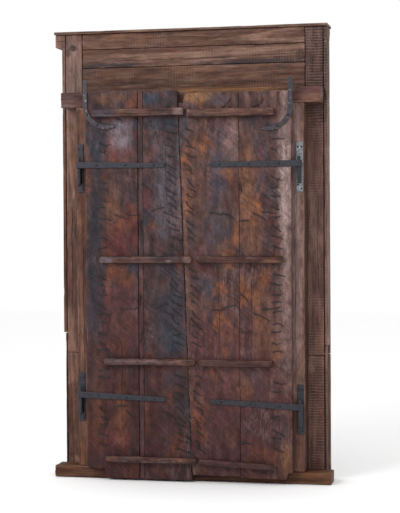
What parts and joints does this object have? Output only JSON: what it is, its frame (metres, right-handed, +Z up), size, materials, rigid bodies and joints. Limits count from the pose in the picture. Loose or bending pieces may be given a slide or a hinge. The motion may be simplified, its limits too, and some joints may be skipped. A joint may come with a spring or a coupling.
{
  "type": "double-leaf plank door with frame",
  "caption": "Old double-leaf plank door in its timber frame with boxed facade, battened back, strap hinges on pintles and clenched nails.",
  "frame": {"origin": "centre of the sill's underside", "axes": "+Z up, +X along the sill to the right leaf, -Y out of the battened side of the leaves, +Y out of the facade"},
  "size_m": [1.455, 0.343, 2.3],
  "materials": {
    "frame_timber": "worn oiled hardwood with splits and rounded edges",
    "facade_wood": "rough-sawn boards, greyed brown with saw marks",
    "left_leaf_wood": "old dark stain, grey-violet over red-brown, worn through",
    "right_leaf_wood": "old brown stain, worn to orange-brown in places",
    "batten_wood": "red-brown hardwood, chipped and rubbed along the edges",
    "framing_wood": "plain worn hardwood",
    "forged_iron": "dark blue-grey forged iron, slightly rubbed"
  },
  "bodies": {
    "frame": {"sill": "frame_timber", "lintel": "frame_timber", "left_jamb": "frame_timber", "right_jamb": "frame_timber", "left_back_board": "facade_wood", "right_back_board": "facade_wood", "left_plinth_back_board": "facade_wood", "right_plinth_back_board": "facade_wood", "left_side_board": "facade_wood", "right_side_board": "facade_wood", "left_plinth_side_board": "facade_wood", "right_plinth_side_board": "facade_wood", "left_front_board": "facade_wood", "right_front_board": "facade_wood", "left_plinth_front_board": "facade_wood", "right_plinth_front_board": "facade_wood", "left_reveal_board": "facade_wood", "right_reveal_board": "facade_wood", "lower_head_board": "facade_wood", "middle_head_board": "facade_wood", "top_head_board": "facade_wood", "frieze_board": "facade_wood", "soffit_board": "facade_wood", "cornice": "facade_wood", "left_cornice_block": "facade_wood", "right_cornice_block": "facade_wood", "cap_board": "facade_wood", "left_upper_pintle": "forged_iron", "left_lower_pintle": "forged_iron", "right_upper_pintle": "forged_iron", "right_lower_pintle": "forged_iron", "plate_screws": "forged_iron"},
    "left_leaf": {"left_outer_plank": "left_leaf_wood", "left_seam_strip": "left_leaf_wood", "left_inner_plank": "left_leaf_wood", "left_batten_1": "batten_wood", "left_batten_2": "batten_wood", "left_batten_3": "batten_wood", "left_batten_4": "batten_wood", "left_front_stiles": "framing_wood", "left_front_rails": "framing_wood", "left_upper_strap": "forged_iron", "left_lower_strap": "forged_iron", "left_corner_iron": "forged_iron", "left_clenched_nails": "forged_iron", "left_strap_nails": "forged_iron"},
    "right_leaf": {"right_outer_plank": "right_leaf_wood", "right_inner_plank": "right_leaf_wood", "right_batten_1": "batten_wood", "right_batten_2": "batten_wood", "right_batten_3": "batten_wood", "right_batten_4": "batten_wood", "right_front_stiles": "framing_wood", "right_front_rails": "framing_wood", "right_upper_strap": "forged_iron", "right_lower_strap": "forged_iron", "right_corner_iron": "forged_iron", "right_clenched_nails": "forged_iron", "right_strap_nails": "forged_iron"}
  },
  "joints": [
    {"name": "left_leaf_hinge", "type": "hinge", "parent": "frame", "child": "left_leaf", "pos_m": [-0.565, -0.09192, 0.069], "axis": [0, 0, -1], "range_deg": [0, 120]},
    {"name": "right_leaf_hinge", "type": "hinge", "parent": "frame", "child": "right_leaf", "pos_m": [0.565, -0.09192, 0.069], "axis": [0, 0, 1], "range_deg": [0, 102]}
  ],
  "couplings": [
    {"joint": "right_leaf_hinge", "follows": "left_leaf_hinge", "ratio": 0.85}
  ]
}
